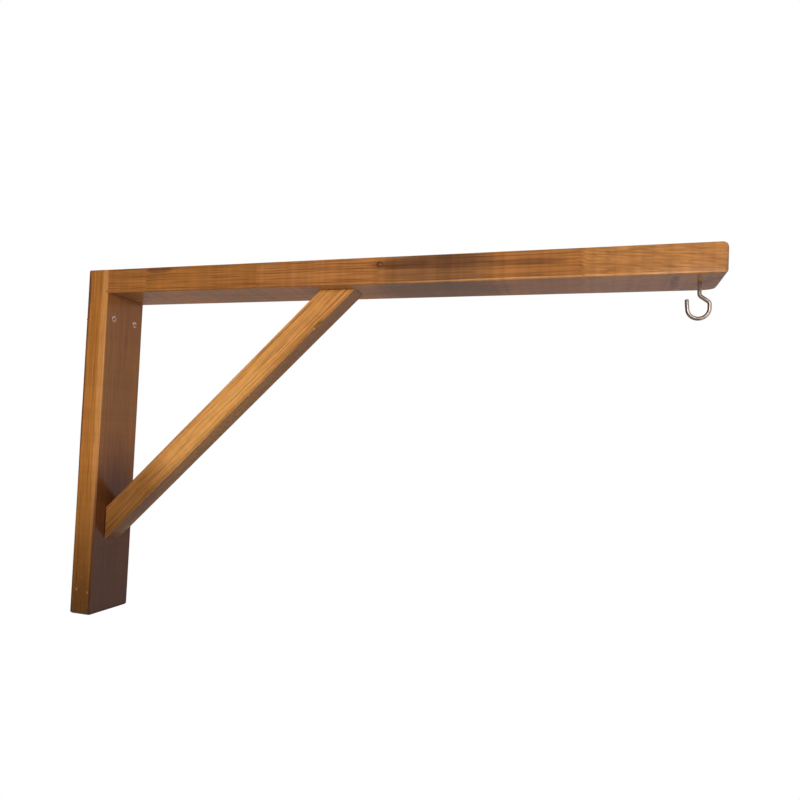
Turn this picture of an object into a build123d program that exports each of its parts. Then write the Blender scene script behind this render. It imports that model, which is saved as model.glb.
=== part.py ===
from build123d import *

import os
from math import atan2, cos, radians, sin, tan

# Wall plant bracket, in millimetres: a post on the wall, an arm butted on its front, a slanted brace, a hook.
# +X points out from the wall, +Z up. The origin is on the wall, midway between the two wall screws.

# Boards
board_thickness = 30.0
board_width = 70.0
post_height = 437.0
arm_length = 709.0
edge_ease = 1.2

# Worked ends of the boards
arm_end_top_round = 6.0
arm_end_bottom_round = 3.0
arm_near_corner_round = 3.0
arm_far_corner_round = 14.0
post_foot_round = 3.0
post_crown_round = 2.0

# Brace: the two legs of its triangle are measured along its upper edge
brace_section = 30.0
brace_reach = 282.0
brace_drop = 272.0
brace_ease = 1.0

# Countersunk screws
screw_diameter = 4.5
screw_shank_diameter = 3.2
screw_head_diameter = 8.5
screw_point_length = 5.0
screw_recess_width = 4.6
screw_recess_slot = 1.1
screw_recess_depth = 2.0
screw_head_angle = 90.0
wall_screw_length = 45.0
arm_screw_length = 70.0
brace_screw_length = 50.0
wall_screw_drop = 60.0
wall_screw_spacing = 40.0
arm_screw_spacing = 40.0
brace_foot_screw_inset = 15.0
brace_head_screw_inset = 15.0

# Hook bent from one wire
hook_wire = 4.0
hook_inset = 20.0
hook_loop_bore = 16.4
hook_loop_shift = -0.5
hook_neck_drop = 13.6
hook_neck_slope = 36.0
hook_neck_bend = 5.0
hook_shoulder_rise = 6.1
hook_shoulder_bend = 4.0
hook_leg_lean = 5.0
hook_tip_rise = 9.5
hook_tip_chamfer = 0.8
hook_thread_length = 20.0
hook_point_length = 5.0
hook_point_radius = 0.3

# Clearances
hole_clearance = 0.25
pilot_clearance = 0.1
head_clearance = 0.05
head_sink = 0.3
pilot_end_room = 1.0

# How far an outline that trims a board runs past the ends that it leaves alone
trim_overrun = 20.0

# Places shared by the pieces
post_top = wall_screw_drop
post_foot = post_top - post_height
post_front = board_thickness
arm_middle = post_top - board_thickness / 2
arm_under = post_top - board_thickness
arm_end = post_front + arm_length
brace_pitch = atan2(brace_drop, brace_reach)
brace_foot_top = arm_under - brace_drop
brace_foot_toe = brace_foot_top - brace_section / cos(brace_pitch)
brace_head_start = post_front + brace_reach
brace_head_toe = brace_head_start + brace_section / sin(brace_pitch)
hook_x = arm_end - hook_inset
loop_radius = (hook_loop_bore + hook_wire) / 2
shoulder_reach = loop_radius + hook_loop_shift
neck_rise = hook_shoulder_rise + shoulder_reach * tan(radians(hook_neck_slope))
loop_height = arm_under - hook_neck_drop - neck_rise
thread_top = arm_under + hook_thread_length - loop_height
leg_lean = radians(hook_leg_lean)
leg_foot_rise = -loop_radius * sin(leg_lean)
leg_foot_x = hook_loop_shift - loop_radius * cos(leg_lean)
leg_tip_x = leg_foot_x - (hook_tip_rise - leg_foot_rise) * tan(leg_lean)

# Planes whose normal leaves the wood where a screw goes in
wall_screw_places = [
    Plane((post_front, side * wall_screw_spacing / 2, 0), z_dir=(1, 0, 0)) for side in (-1, 1)
]
arm_screw_places = [
    Plane((0, side * arm_screw_spacing / 2, arm_middle), z_dir=(-1, 0, 0)) for side in (-1, 1)
]
foot_screw_place = Plane((0, 0, brace_foot_top - brace_foot_screw_inset), z_dir=(-1, 0, 0))
head_screw_place = Plane((brace_head_start + brace_head_screw_inset, 0, post_top), z_dir=(0, 0, 1))
hook_place = Plane((hook_x, 0, arm_under), z_dir=(0, 0, -1))

# Holes that the screws set
clear_radius = screw_diameter / 2 + hole_clearance
pilot_radius = screw_diameter / 2 + pilot_clearance
sink_radius = screw_head_diameter / 2 + head_sink + head_clearance
arm_pilot_depth = arm_screw_length + head_sink - board_thickness + pilot_end_room
brace_pilot_depth = brace_screw_length + head_sink - board_thickness + pilot_end_room


def countersunk_screw(length: float) -> Part:
    """One screw that clamps one board: its head lies just under the plane XY and its point looks down."""
    head = screw_head_diameter / 2
    shank = screw_shank_diameter / 2
    thread = screw_diameter / 2
    cone = (head - shank) / tan(radians(screw_head_angle / 2))
    with BuildPart() as screw:
        with BuildSketch(Plane.XZ):
            with BuildLine():
                Polyline(
                    (0, -head_sink),
                    (head, -head_sink),
                    (shank, -head_sink - cone),
                    (shank, -board_thickness),
                    (thread, -board_thickness),
                    (thread, screw_point_length - length - head_sink),
                    (0, -length - head_sink),
                    close=True,
                )
            make_face()
        revolve(axis=Axis.Z)
        with BuildSketch(Plane.XY.offset(-head_sink)):
            Rectangle(screw_recess_width, screw_recess_slot)
            Rectangle(screw_recess_slot, screw_recess_width)
        extrude(amount=-screw_recess_depth, mode=Mode.SUBTRACT)
    return screw.part


# Post: full height, with both ends rounded over
with BuildPart() as wall_post:
    with BuildSketch(Plane.XY.offset(post_foot)):
        with Locations((board_thickness / 2, 0)):
            RectangleRounded(board_thickness, board_width, edge_ease)
    extrude(amount=post_height)
    with BuildSketch(Plane.XZ) as post_side:
        with Locations((board_thickness / 2, post_top - post_height / 2)):
            Rectangle(board_thickness, post_height)
        fillet(post_side.vertices().group_by(Axis.Y)[0], post_foot_round)
        fillet(post_side.vertices().group_by(Axis.Y)[-1].sort_by(Axis.X)[0], post_crown_round)
    extrude(amount=board_width, both=True, mode=Mode.INTERSECT)
    with BuildSketch(Plane.YZ) as post_front_view:
        with Locations((0, post_foot)):
            Rectangle(board_width, post_height + trim_overrun, align=(Align.CENTER, Align.MIN))
        fillet(post_front_view.vertices().group_by(Axis.Y)[0], post_foot_round)
    extrude(amount=board_thickness + trim_overrun, both=True, mode=Mode.INTERSECT)
    with Locations(*wall_screw_places, *arm_screw_places, foot_screw_place):
        CounterSinkHole(clear_radius, sink_radius, board_thickness, screw_head_angle)

# Arm: flush with the top of the post, its free end shaped by hand
with BuildPart() as arm:
    with BuildSketch(Plane.YZ.offset(post_front)):
        with Locations((0, arm_middle)):
            RectangleRounded(board_width, board_thickness, edge_ease)
    extrude(amount=arm_length)
    with BuildSketch(Plane.XZ) as arm_side:
        with Locations((arm_end, arm_middle)):
            Rectangle(arm_length + trim_overrun, board_thickness, align=(Align.MAX, Align.CENTER))
        fillet(arm_side.vertices().group_by(Axis.X)[-1].sort_by(Axis.Y)[-1], arm_end_top_round)
        fillet(arm_side.vertices().group_by(Axis.X)[-1].sort_by(Axis.Y)[0], arm_end_bottom_round)
    extrude(amount=board_width, both=True, mode=Mode.INTERSECT)
    with BuildSketch(Plane.XY.offset(arm_middle)) as arm_plan:
        with Locations((arm_end, 0)):
            Rectangle(arm_length + trim_overrun, board_width, align=(Align.MAX, Align.CENTER))
        fillet(arm_plan.vertices().group_by(Axis.X)[-1].sort_by(Axis.Y)[0], arm_near_corner_round)
        fillet(arm_plan.vertices().group_by(Axis.X)[-1].sort_by(Axis.Y)[-1], arm_far_corner_round)
    extrude(amount=board_thickness, both=True, mode=Mode.INTERSECT)
    with Locations(*[place.offset(-board_thickness) for place in arm_screw_places]):
        Hole(pilot_radius, arm_pilot_depth)
    with Locations(head_screw_place):
        CounterSinkHole(clear_radius, sink_radius, board_thickness, screw_head_angle)
    with Locations(hook_place):
        Hole(hook_wire / 2 + pilot_clearance, hook_thread_length + hook_point_length + pilot_end_room)

# Brace: a square stick with both ends cut to lie flat on the post and the arm
with BuildPart() as brace:
    with BuildSketch(Plane.XZ):
        with BuildLine():
            Polyline(
                (post_front, brace_foot_top),
                (brace_head_start, arm_under),
                (brace_head_toe, arm_under),
                (post_front, brace_foot_toe),
                close=True,
            )
        make_face()
    extrude(amount=brace_section / 2, both=True)
    brace_run = Axis((0, 0, 0), (cos(brace_pitch), 0, sin(brace_pitch)))
    fillet(brace.edges().filter_by(brace_run), brace_ease)
    with Locations(foot_screw_place.offset(-board_thickness), head_screw_place.offset(-board_thickness)):
        Hole(pilot_radius, brace_pilot_depth)

# Hook: one wire, straight in the arm, stepped aside below it and bent to an open loop whose leg leans out
with BuildPart() as screw_hook:
    with BuildLine(Plane((hook_x, 0, loop_height), x_dir=(1, 0, 0), z_dir=(0, -1, 0))) as hook_wire_path:
        FilletPolyline(
            (0, thread_top),
            (0, neck_rise),
            (shoulder_reach, hook_shoulder_rise),
            (shoulder_reach, 0),
            radius=[hook_neck_bend, hook_shoulder_bend],
        )
        ThreePointArc((shoulder_reach, 0), (hook_loop_shift, -loop_radius), (leg_foot_x, leg_foot_rise))
        Line((leg_foot_x, leg_foot_rise), (leg_tip_x, hook_tip_rise))
    with BuildSketch(Plane((hook_x, 0, arm_under + hook_thread_length), z_dir=(0, 0, 1))):
        Circle(hook_wire / 2)
    sweep(path=hook_wire_path.wires()[0])
    hook_tip = screw_hook.faces().filter_by(GeomType.PLANE).sort_by(Axis.X)[0]
    chamfer(hook_tip.edges(), hook_tip_chamfer)
    with Locations((hook_x, 0, arm_under + hook_thread_length)):
        Cone(
            hook_wire / 2,
            hook_point_radius,
            hook_point_length,
            align=(Align.CENTER, Align.CENTER, Align.MIN),
        )

# Screws: two hold the post to the wall, two hold the arm to the post, and one each end of the brace
with BuildPart() as wall_screws:
    with Locations(*wall_screw_places):
        add(countersunk_screw(wall_screw_length))

with BuildPart() as arm_screws:
    with Locations(*arm_screw_places):
        add(countersunk_screw(arm_screw_length))

with BuildPart() as brace_screws:
    with Locations(foot_screw_place, head_screw_place):
        add(countersunk_screw(brace_screw_length))

wall_post.part.label = "wall_post"
arm.part.label = "arm"
brace.part.label = "brace"
screw_hook.part.label = "screw_hook"
wall_screws.part.label = "wall_screws"
arm_screws.part.label = "arm_screws"
brace_screws.part.label = "brace_screws"

os.makedirs("parts", exist_ok=True)
for piece in (wall_post, arm, brace, screw_hook, wall_screws, arm_screws, brace_screws):
    export_step(piece.part, f"parts/{piece.part.label}.step")
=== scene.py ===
"""Looks of a wooden wall bracket: boards glued up from staves under satin varnish, a wire hook, screws."""

import logging
from collections.abc import Sequence
from dataclasses import dataclass, field
from enum import Enum
from math import atan2, ceil, cos, hypot, pi, radians, sin, sqrt, tan

import bmesh
import bpy
from mathutils import Matrix, Vector, noise


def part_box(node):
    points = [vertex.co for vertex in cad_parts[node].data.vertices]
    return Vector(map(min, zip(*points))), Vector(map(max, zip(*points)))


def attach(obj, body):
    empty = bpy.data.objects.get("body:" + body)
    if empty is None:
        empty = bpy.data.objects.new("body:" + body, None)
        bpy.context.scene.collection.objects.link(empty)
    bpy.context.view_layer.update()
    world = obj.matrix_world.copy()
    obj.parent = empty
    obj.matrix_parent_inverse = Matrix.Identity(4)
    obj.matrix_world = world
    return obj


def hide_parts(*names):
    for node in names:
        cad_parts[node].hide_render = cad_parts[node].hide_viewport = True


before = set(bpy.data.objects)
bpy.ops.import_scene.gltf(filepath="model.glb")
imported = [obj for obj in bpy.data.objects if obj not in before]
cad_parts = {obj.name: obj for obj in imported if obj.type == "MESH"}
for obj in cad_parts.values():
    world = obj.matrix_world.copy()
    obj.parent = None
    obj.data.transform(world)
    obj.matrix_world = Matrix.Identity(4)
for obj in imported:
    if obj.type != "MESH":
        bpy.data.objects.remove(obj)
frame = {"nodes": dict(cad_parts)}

Pair = tuple[float, float]
Triple = tuple[float, float, float]
Colour = Triple
Socket = bpy.types.NodeSocket
Sockets = bpy.types.NodeOutputs
Feed = float | int | Sequence[float] | Socket
Feeds = dict[str | int, Feed]

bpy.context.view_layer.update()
BODY = "root"
WEAR = "wear"
MM = 0.001
SHARP = radians(32)
FRONT = (1.0, 0.0, 0.0)
BACK = (-1.0, 0.0, 0.0)
UP = (0.0, 0.0, 1.0)
DOWN = (0.0, 0.0, -1.0)
LOG = logging.getLogger("bracket")


class Slot(Enum):
    """The record's material slots."""

    WOOD = "varnished_wood"
    HOOK = "hook_steel"
    SCREW = "screw_steel"


class Corner(Enum):
    """The four long edges of a board, by their side across it and through it."""

    NEAR_LOW = (-1, -1)
    FAR_LOW = (1, -1)
    FAR_HIGH = (1, 1)
    NEAR_HIGH = (-1, 1)


@dataclass(frozen=True)
class Cells:
    """A noise: its cells per metre along the grain and across it, and where in the noise it is taken from.

    The span holds the two levels between which it shows.
    """

    along: float
    across: float
    detail: float = 2.0
    roughness: float = 0.5
    step: float = 0.0
    span: Pair = (0.0, 1.0)


# Noises in the wood
FIBRE = Cells(24.0, 1100.0, 3.0, 0.6, span=(0.2, 0.8))
FLECKS = Cells(26.0, 720.0, span=(0.54, 0.64))
CLOUDS = Cells(3.2, 26.0)
STREAKS = Cells(9.0, 420.0, 3.0, 0.6, span=(0.28, 0.72))
DRIFT = Cells(1.7, 7.0, step=0.7)
RIPPLE = Cells(12.0, 90.0, step=1.9)
KNIVES = Cells(150.0, 2.0, 1.0, step=4.1, span=(0.3, 0.7))
BREAKS = Cells(8.0, 150.0, step=5.3, span=(0.28, 0.58))
PLANER = Cells(26.0, 4.0, 1.0, step=6.2)
FRAY = Cells(20.0, 420.0, 3.0, step=7.7)
STAVE_STEP = 3.1


def srgb(red: int, green: int, blue: int) -> Colour:
    """Turn a screen colour into the linear one that a shader takes.

    Args:
        red: Red, 0 to 255.
        green: Green, 0 to 255.
        blue: Blue, 0 to 255.

    Returns:
        The same colour in linear light, 0 to 1.
    """

    def linear(level: int) -> float:
        """Undo the screen's curve for one channel."""
        share = level / 255
        return share / 12.92 if share <= 0.04045 else ((share + 0.055) / 1.055) ** 2.4

    return linear(red), linear(green), linear(blue)


def grey(level: float) -> tuple[float, float, float, float]:
    """An even grey, 0 to 1, as a shader takes it."""
    return level, level, level, 1.0


class NodeBench:
    """A node tree under construction, with short calls for the nodes that the bracket needs."""

    def __init__(self, tree: bpy.types.NodeTree) -> None:
        """Start with an empty tree."""
        self.tree = tree
        tree.nodes.clear()

    def feed(self, socket: Socket, value: Feed) -> None:
        """Link a socket to another one, or set its value.

        Args:
            socket: The socket.
            value: Another socket, or the value.
        """
        if isinstance(value, bpy.types.NodeSocket):
            self.tree.links.new(value, socket)
        else:
            socket.default_value = value

    def add(self, kind: str, feeds: Feeds | None = None, **settings: object) -> bpy.types.Node:
        """Add one node.

        Args:
            kind: The node's type.
            feeds: What goes into its sockets, by name or number.
            **settings: The node's own options.

        Returns:
            The node.
        """
        node = self.tree.nodes.new(kind)
        for option, setting in settings.items():
            setattr(node, option, setting)
        for socket, value in (feeds or {}).items():
            self.feed(node.inputs[socket], value)
        return node

    def math(self, operation: str, first: Feed, second: Feed = 0.0, clamp: bool = False) -> Socket:
        """Work out one number from two."""
        node = self.add("ShaderNodeMath", {0: first, 1: second}, operation=operation, use_clamp=clamp)
        return node.outputs[0]

    def times(self, first: Feed, second: Feed, clamp: bool = False) -> Socket:
        """The product of two numbers."""
        return self.math("MULTIPLY", first, second, clamp)

    def plus(self, first: Feed, second: Feed) -> Socket:
        """The sum of two numbers."""
        return self.math("ADD", first, second)

    def minus(self, first: Feed, second: Feed, clamp: bool = False) -> Socket:
        """What is left of the first number without the second."""
        return self.math("SUBTRACT", first, second, clamp)

    def swing(self, share: Feed, reach: Feed) -> Socket:
        """A share about a half, made a swing about nothing."""
        return self.times(self.minus(share, 0.5), reach)

    def mixed(self, first: Feed, second: Feed, share: float) -> Socket:
        """Two numbers mixed, with the second one's share."""
        return self.plus(self.times(first, 1 - share), self.times(second, share))

    def vector(self, operation: str, first: Feed, second: Feed = (0.0, 0.0, 0.0)) -> Socket:
        """Work out one vector from two, or a number where the operation gives one."""
        node = self.add("ShaderNodeVectorMath", {0: first, 1: second}, operation=operation)
        return node.outputs["Value" if operation in ("LENGTH", "DOT_PRODUCT") else "Vector"]

    def scaled(self, vector: Feed, factor: Feed) -> Socket:
        """Multiply a vector or a colour by one number."""
        feeds = {0: vector, "Scale": factor}
        return self.add("ShaderNodeVectorMath", feeds, operation="SCALE").outputs["Vector"]

    def split(self, vector: Feed) -> Sockets:
        """The three parts of a vector."""
        return self.add("ShaderNodeSeparateXYZ", {0: vector}).outputs

    def point(self, x: Feed = 0.0, y: Feed = 0.0, z: Feed = 0.0) -> Socket:
        """A vector from its three parts."""
        return self.add("ShaderNodeCombineXYZ", {0: x, 1: y, 2: z}).outputs[0]

    def ease(self, value: Feed, start: float, end: float, low: float = 0.0, high: float = 1.0) -> Socket:
        """Go smoothly from one level to another while a value goes from start to end."""
        feeds = {"Value": value, "From Min": start, "From Max": end, "To Min": low, "To Max": high}
        return self.add("ShaderNodeMapRange", feeds, interpolation_type="SMOOTHSTEP").outputs[0]

    def noise(self, place: Feed, cells: Cells) -> Socket:
        """Noise about a half.

        Args:
            place: The point along, across and through the grain, in metres.
            cells: The noise's cells.

        Returns:
            The noise's socket.
        """
        scaled = self.vector("MULTIPLY", place, (cells.along, cells.across, cells.across))
        feeds = {"Vector": scaled, "Scale": 1.0, "Detail": cells.detail, "Roughness": cells.roughness}
        return self.add("ShaderNodeTexNoise", feeds).outputs[0]

    def blend(self, share: Feed, first: Feed, second: Feed, mode: str = "MIX") -> Socket:
        """Mix two colours.

        Args:
            share: How much of the second one there is.
            first: A colour of three numbers, or a socket.
            second: A colour of three numbers, or a socket.
            mode: The blend mode.

        Returns:
            The mixed colour's socket.
        """
        node = self.add("ShaderNodeMix", {0: share}, data_type="RGBA", blend_type=mode)
        for socket, value in ((6, first), (7, second)):
            colour = value if isinstance(value, bpy.types.NodeSocket) else (*value, 1.0)
            self.feed(node.inputs[socket], colour)
        return node.outputs[2]

    def multiplied(self, first: Feed, second: Feed, share: Feed = 1.0) -> Socket:
        """The first colour times the second one, or a share of that."""
        return self.blend(share, first, second, "MULTIPLY")

    def place(self) -> Socket:
        """The point's place on the object, in metres."""
        return self.add("ShaderNodeTexCoord").outputs["Object"]

    def facing(self, axis: Vector) -> Socket:
        """How squarely a face looks along an axis, 0 to 1."""
        normal = self.add("ShaderNodeNewGeometry").outputs["Normal"]
        return self.math("ABSOLUTE", self.vector("DOT_PRODUCT", normal, axis))

    def bump(self, strength: float, distance: float, height: Socket) -> Socket:
        """A normal that shows fine unevenness, its distance in millimetres."""
        feeds = {"Strength": strength, "Distance": distance * MM, "Height": height}
        return self.add("ShaderNodeBump", feeds).outputs[0]

    def surface(self, kind: str, feeds: Feeds) -> None:
        """Add a shader as the material's surface."""
        shader = self.add(kind, feeds)
        self.add("ShaderNodeOutputMaterial", {"Surface": shader.outputs[0]})


def new_material(name: str) -> tuple[bpy.types.Material, NodeBench]:
    """Make a node material and the bench that fills it.

    Args:
        name: The material's name.

    Returns:
        The material and its empty bench.
    """
    material = bpy.data.materials.new(name)
    material.use_nodes = True
    return material, NodeBench(material.node_tree)


def new_object(name: str, shape: bpy.types.ID) -> bpy.types.Object:
    """Put a new object in the scene, at the origin.

    Args:
        name: The object's name.
        shape: Its mesh, lamp or camera.

    Returns:
        The object.
    """
    thing = bpy.data.objects.new(name, shape)
    bpy.context.collection.objects.link(thing)
    return thing


def settle(thing: bpy.types.Object) -> None:
    """Turn an object's modifiers into a plain mesh, smooth but for its sharp edges.

    Args:
        thing: The object.
    """
    evaluated = thing.evaluated_get(bpy.context.evaluated_depsgraph_get())
    mesh = bpy.data.meshes.new_from_object(evaluated)
    thing.modifiers.clear()
    thing.data = mesh
    mesh.name = thing.name
    mesh.shade_smooth()
    mesh.set_sharp_from_angle(angle=SHARP)


def hand_over(piece: bpy.types.Object, node: str) -> None:
    """Let a finished piece stand for its node.

    Args:
        piece: The piece.
        node: The node that it replaces.
    """
    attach(piece, BODY)
    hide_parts(node)
    LOG.info("%s: %d faces", piece.name, len(piece.data.polygons))


@dataclass(frozen=True)
class Mark:
    """A patch of another tone in the wood, or of painted highlight or painted shade, an ellipsoid that lies
    along the grain.

    Sizes are in millimetres: the patch's middle in the row's frame, and its reach along the grain, across
    the board and through it. Ragged says how far its outline frays.
    """

    middle: Triple
    reach: Triple
    tone: Colour
    strength: float
    ragged: float = 0.5


@dataclass(frozen=True)
class Stave:
    """One of the lengths that a board is glued up from.

    It starts so many millimetres along the board, and the seam blurs its joint by so many to each side. Its
    growth rings are shifted against those of the stave before it, its grain falls by the slope's share of a
    run along it, and its figure says how strongly the grain shows.
    """

    start: float = 0.0
    tone: Colour = (1.0, 1.0, 1.0)
    shift: float = 0.0
    slope: float = 0.0
    figure: float = 1.0
    seam: float = 0.4


@dataclass(frozen=True)
class WoodFinish:
    """Satin varnish over straight-grained wood.

    The wood's body swings between pale and deep, and growth is the dark part of a ring. The rings lie
    line_gap apart about the pith, both in millimetres, the pith across and through from the board's middle,
    and they wander by line_drift and line_ripple millimetres.
    The depths say how strongly rings and flecks show, broad_figure how much of that and of the swing is left
    on the broad faces, and chatter how far the planer's bands swing. The tones multiply the colour. A ring
    darkens and ends over two shares of its gap, and the faintest one has ring_least of the full depth. Groove
    says how deep a ring lies beside the fibre. The spans hold the levels between which a share goes from none
    to full.
    """

    name: str
    pale: Colour
    deep: Colour
    growth: Colour
    pith: Pair
    marks: tuple[Mark, ...]
    staves: tuple[Stave, ...] = (Stave(),)
    seed: float = 0.0
    line_gap: float = 3.6
    line_depth: float = 0.65
    line_drift: float = 16.0
    line_ripple: float = 3.0
    fleck_depth: float = 0.36
    flecks_along: float = FLECKS.along
    broad_figure: float = 0.5
    chatter: float = 0.05
    end_tone: Colour = (0.55, 0.5, 0.46)
    # Above 1, the edge tone paints a highlight along the eased edges
    edge_tone_and_highlight: Colour = (0.62, 0.56, 0.52)
    edge_share: float = 0.8
    coat_roughness: float = 0.2
    bump: float = 0.12
    bump_depth: float = 0.3
    groove: float = 0.5
    streak_share: float = 0.6
    planer_share: float = 0.5
    ring_rise: Pair = (0.5, 0.88)
    ring_fall: Pair = (0.9, 1.0)
    ring_least: float = 0.25
    fibre_tones: Pair = (0.84, 1.12)
    broad_span: Pair = (0.5, 0.9)
    end_span: Pair = (0.75, 0.98)
    mark_span: Pair = (0.45, 1.0)

    def dress(self, board: "Board") -> bpy.types.Material:
        """Make the material in the directions of one board.

        Args:
            board: The board that the grain follows.

        Returns:
            The material.
        """
        material, bench = new_material(self.name)
        WoodPattern(self, board, bench).build()
        return material


class WoodPattern:
    """The nodes of one wood finish, laid out along one board."""

    def __init__(self, finish: WoodFinish, board: "Board", bench: NodeBench) -> None:
        """Find the point's place along, across and through the board, in metres.

        Args:
            finish: The finish.
            board: The board.
            bench: The material's empty tree.
        """
        self.finish = finish
        self.board = board
        self.bench = bench
        where, turn, _ = board.frame.decompose()
        feeds = {"Vector": bench.place(), "Location": where, "Rotation": turn.to_euler()}
        self.place = bench.add("ShaderNodeMapping", feeds, vector_type="TEXTURE").outputs[0]

    def build(self) -> None:
        """Lay marks, grain, planer's bands and edge tones over the wood's body, under a clear coat; some
        marks are painted highlights and painted shade, and an edge tone above 1 is a painted highlight.
        """
        finish = self.finish
        bench = self.bench
        own, tone, shift, figure = self.stave_steps()
        calm = bench.ease(bench.facing(self.axis(2)), *finish.broad_span, 1.0, finish.broad_figure)
        figure = bench.times(figure, calm)
        line = self.growth_lines(shift)
        flecks = bench.noise(own, Cells(finish.flecks_along, FLECKS.across))
        fibre = bench.noise(self.place, FIBRE)
        body = bench.multiplied(bench.blend(self.body_share(own, calm), finish.deep, finish.pale), tone)
        for mark in finish.marks:
            body = bench.blend(self.mark_share(mark), body, mark.tone)
        colours = zip(finish.growth, finish.pale, finish.deep)
        stain = tuple(dark / (light + deep) * 2 for dark, light, deep in colours)
        grains = (line, finish.line_depth), (bench.ease(flecks, *FLECKS.span), finish.fleck_depth)
        for share, depth in grains:
            shown = bench.times(bench.times(share, depth), figure, clamp=True)
            body = bench.blend(shown, body, bench.multiplied(body, stain))
        body = bench.scaled(body, bench.ease(fibre, *FIBRE.span, *finish.fibre_tones))
        body = self.edges_highlight_and_stain(bench.scaled(body, self.knife_marks()))
        height = bench.plus(bench.times(line, -finish.groove), fibre)
        feeds = {
            "Base Color": body,
            "Specular IOR Level": 0.0,
            "Coat Weight": 1.0,
            "Coat Roughness": finish.coat_roughness,
            "Normal": bench.bump(finish.bump, finish.bump_depth, height),
        }
        bench.surface("ShaderNodeBsdfPrincipled", feeds)

    def axis(self, number: int) -> Vector:
        """The board's direction along, across or through."""
        return self.board.frame.to_3x3().col[number]

    def seeded(self, step: float) -> Socket:
        """The place moved to a part of a noise that is this board's own."""
        seed = self.finish.seed
        return self.bench.vector("ADD", self.place, (seed + step, seed - step, step))

    def noise(self, cells: Cells) -> Socket:
        """A noise that is this board's own."""
        return self.bench.noise(self.seeded(cells.step), cells)

    def stave_steps(self) -> tuple[Socket, Feed, Feed, Feed]:
        """Say which stave a point is in.

        Returns:
            A place in the noise that is the stave's own, the stave's tone, the shift of its grain and how
            strongly that shows.
        """
        bench = self.bench
        staves = self.finish.staves
        along = bench.split(self.place)[0]
        tone: Feed = staves[0].tone
        figure: Feed = staves[0].figure
        shift: Feed = 0.0
        for before, stave in zip((staves[0], *staves), staves):
            inside = bench.ease(along, (stave.start - stave.seam) * MM, (stave.start + stave.seam) * MM)
            tone = bench.blend(inside, tone, stave.tone)
            figure = bench.plus(figure, bench.times(inside, stave.figure - before.figure))
            fall = bench.times(bench.minus(along, stave.start * MM), stave.slope)
            shift = bench.plus(shift, bench.times(inside, bench.plus(fall, stave.shift * MM)))
        own = bench.vector("ADD", self.seeded(STAVE_STEP), bench.point(y=shift, z=shift))
        return own, tone, shift, figure

    def growth_lines(self, shift: Feed) -> Socket:
        """Growth rings about a heart that lies outside the board, cut by its faces.

        Args:
            shift: How far the stave's rings are moved.

        Returns:
            How much of the dark part of a ring there is, 0 to 1.
        """
        finish = self.finish
        bench = self.bench
        drift = bench.swing(self.noise(DRIFT), finish.line_drift * MM)
        ripple = bench.swing(self.noise(RIPPLE), finish.line_ripple * MM)
        sway = bench.plus(bench.plus(drift, ripple), shift)
        heart = bench.vector("SUBTRACT", self.place, (0.0, finish.pith[0] * MM, finish.pith[1] * MM))
        moved = bench.vector("ADD", heart, bench.point(y=drift, z=sway))
        radius = bench.vector("LENGTH", bench.vector("MULTIPLY", moved, (0.0, 1.0, 1.0)))
        count = bench.math("DIVIDE", radius, finish.line_gap * MM)
        phase = bench.math("FRACT", count)
        rise = bench.ease(phase, *finish.ring_rise)
        fall = bench.ease(phase, *finish.ring_fall, 1.0, 0.0)
        ring = {"W": bench.math("FLOOR", count)}
        depth = bench.add("ShaderNodeTexWhiteNoise", ring, noise_dimensions="1D").outputs[0]
        broken = bench.ease(self.noise(BREAKS), *BREAKS.span)
        strength = bench.times(bench.ease(depth, 0.0, 1.0, finish.ring_least, 1.0), broken)
        return bench.times(bench.times(rise, fall), strength, clamp=True)

    def body_share(self, own: Socket, calm: Socket) -> Socket:
        """How pale the wood is between its growth lines, in broad clouds and in fine streaks.

        Args:
            own: A place in the noise that is the stave's own.
            calm: How much of the swing is left on this face.

        Returns:
            The share of the pale colour, 0 to 1.
        """
        bench = self.bench
        both = bench.mixed(bench.noise(own, CLOUDS), bench.noise(own, STREAKS), self.finish.streak_share)
        return bench.plus(bench.swing(bench.ease(both, *STREAKS.span), calm), 0.5)

    def knife_marks(self) -> Socket:
        """Faint bands across the board that the planer left, as a factor about 1."""
        both = self.bench.mixed(self.noise(KNIVES), self.noise(PLANER), self.finish.planer_share)
        return self.bench.ease(both, *KNIVES.span, 1 - self.finish.chatter, 1 + self.finish.chatter)

    def mark_share(self, mark: Mark) -> Socket:
        """How much of a mark there is at a point.

        Args:
            mark: The mark.

        Returns:
            The mark's share, 0 to its strength.
        """
        bench = self.bench
        middle = self.board.frame.inverted() @ (Vector(mark.middle) * MM)
        offset = bench.vector("SUBTRACT", self.place, middle)
        reach = tuple(1 / (size * MM) for size in mark.reach)
        distance = bench.vector("LENGTH", bench.vector("MULTIPLY", offset, reach))
        fray = bench.swing(self.noise(FRAY), mark.ragged)
        return bench.ease(bench.plus(distance, fray), *self.finish.mark_span, mark.strength, 0.0)

    def edges_highlight_and_stain(self, body: Socket) -> Socket:
        """Change the tone along the eased edges, a painted highlight where the tone is above 1, and in the
        end grain, which takes the stain otherwise.

        Args:
            body: The colour so far.

        Returns:
            The colour with its edges and ends.
        """
        bench = self.bench
        board = self.board
        apart = bench.split(bench.vector("ABSOLUTE", self.place))
        side = bench.minus(apart[1], (board.width / 2 - board.ease) * MM)
        face = bench.minus(apart[2], (board.thickness / 2 - board.ease) * MM)
        inside = bench.math("MINIMUM", side, face)
        edge = bench.ease(inside, 0.0, board.ease * MM, 0.0, self.finish.edge_share)
        # Edge tone: a painted highlight where it is above 1
        body = bench.multiplied(body, self.finish.edge_tone_and_highlight, edge)
        end = bench.ease(bench.facing(self.axis(0)), *self.finish.end_span)
        return bench.multiplied(body, self.finish.end_tone, end)


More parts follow.
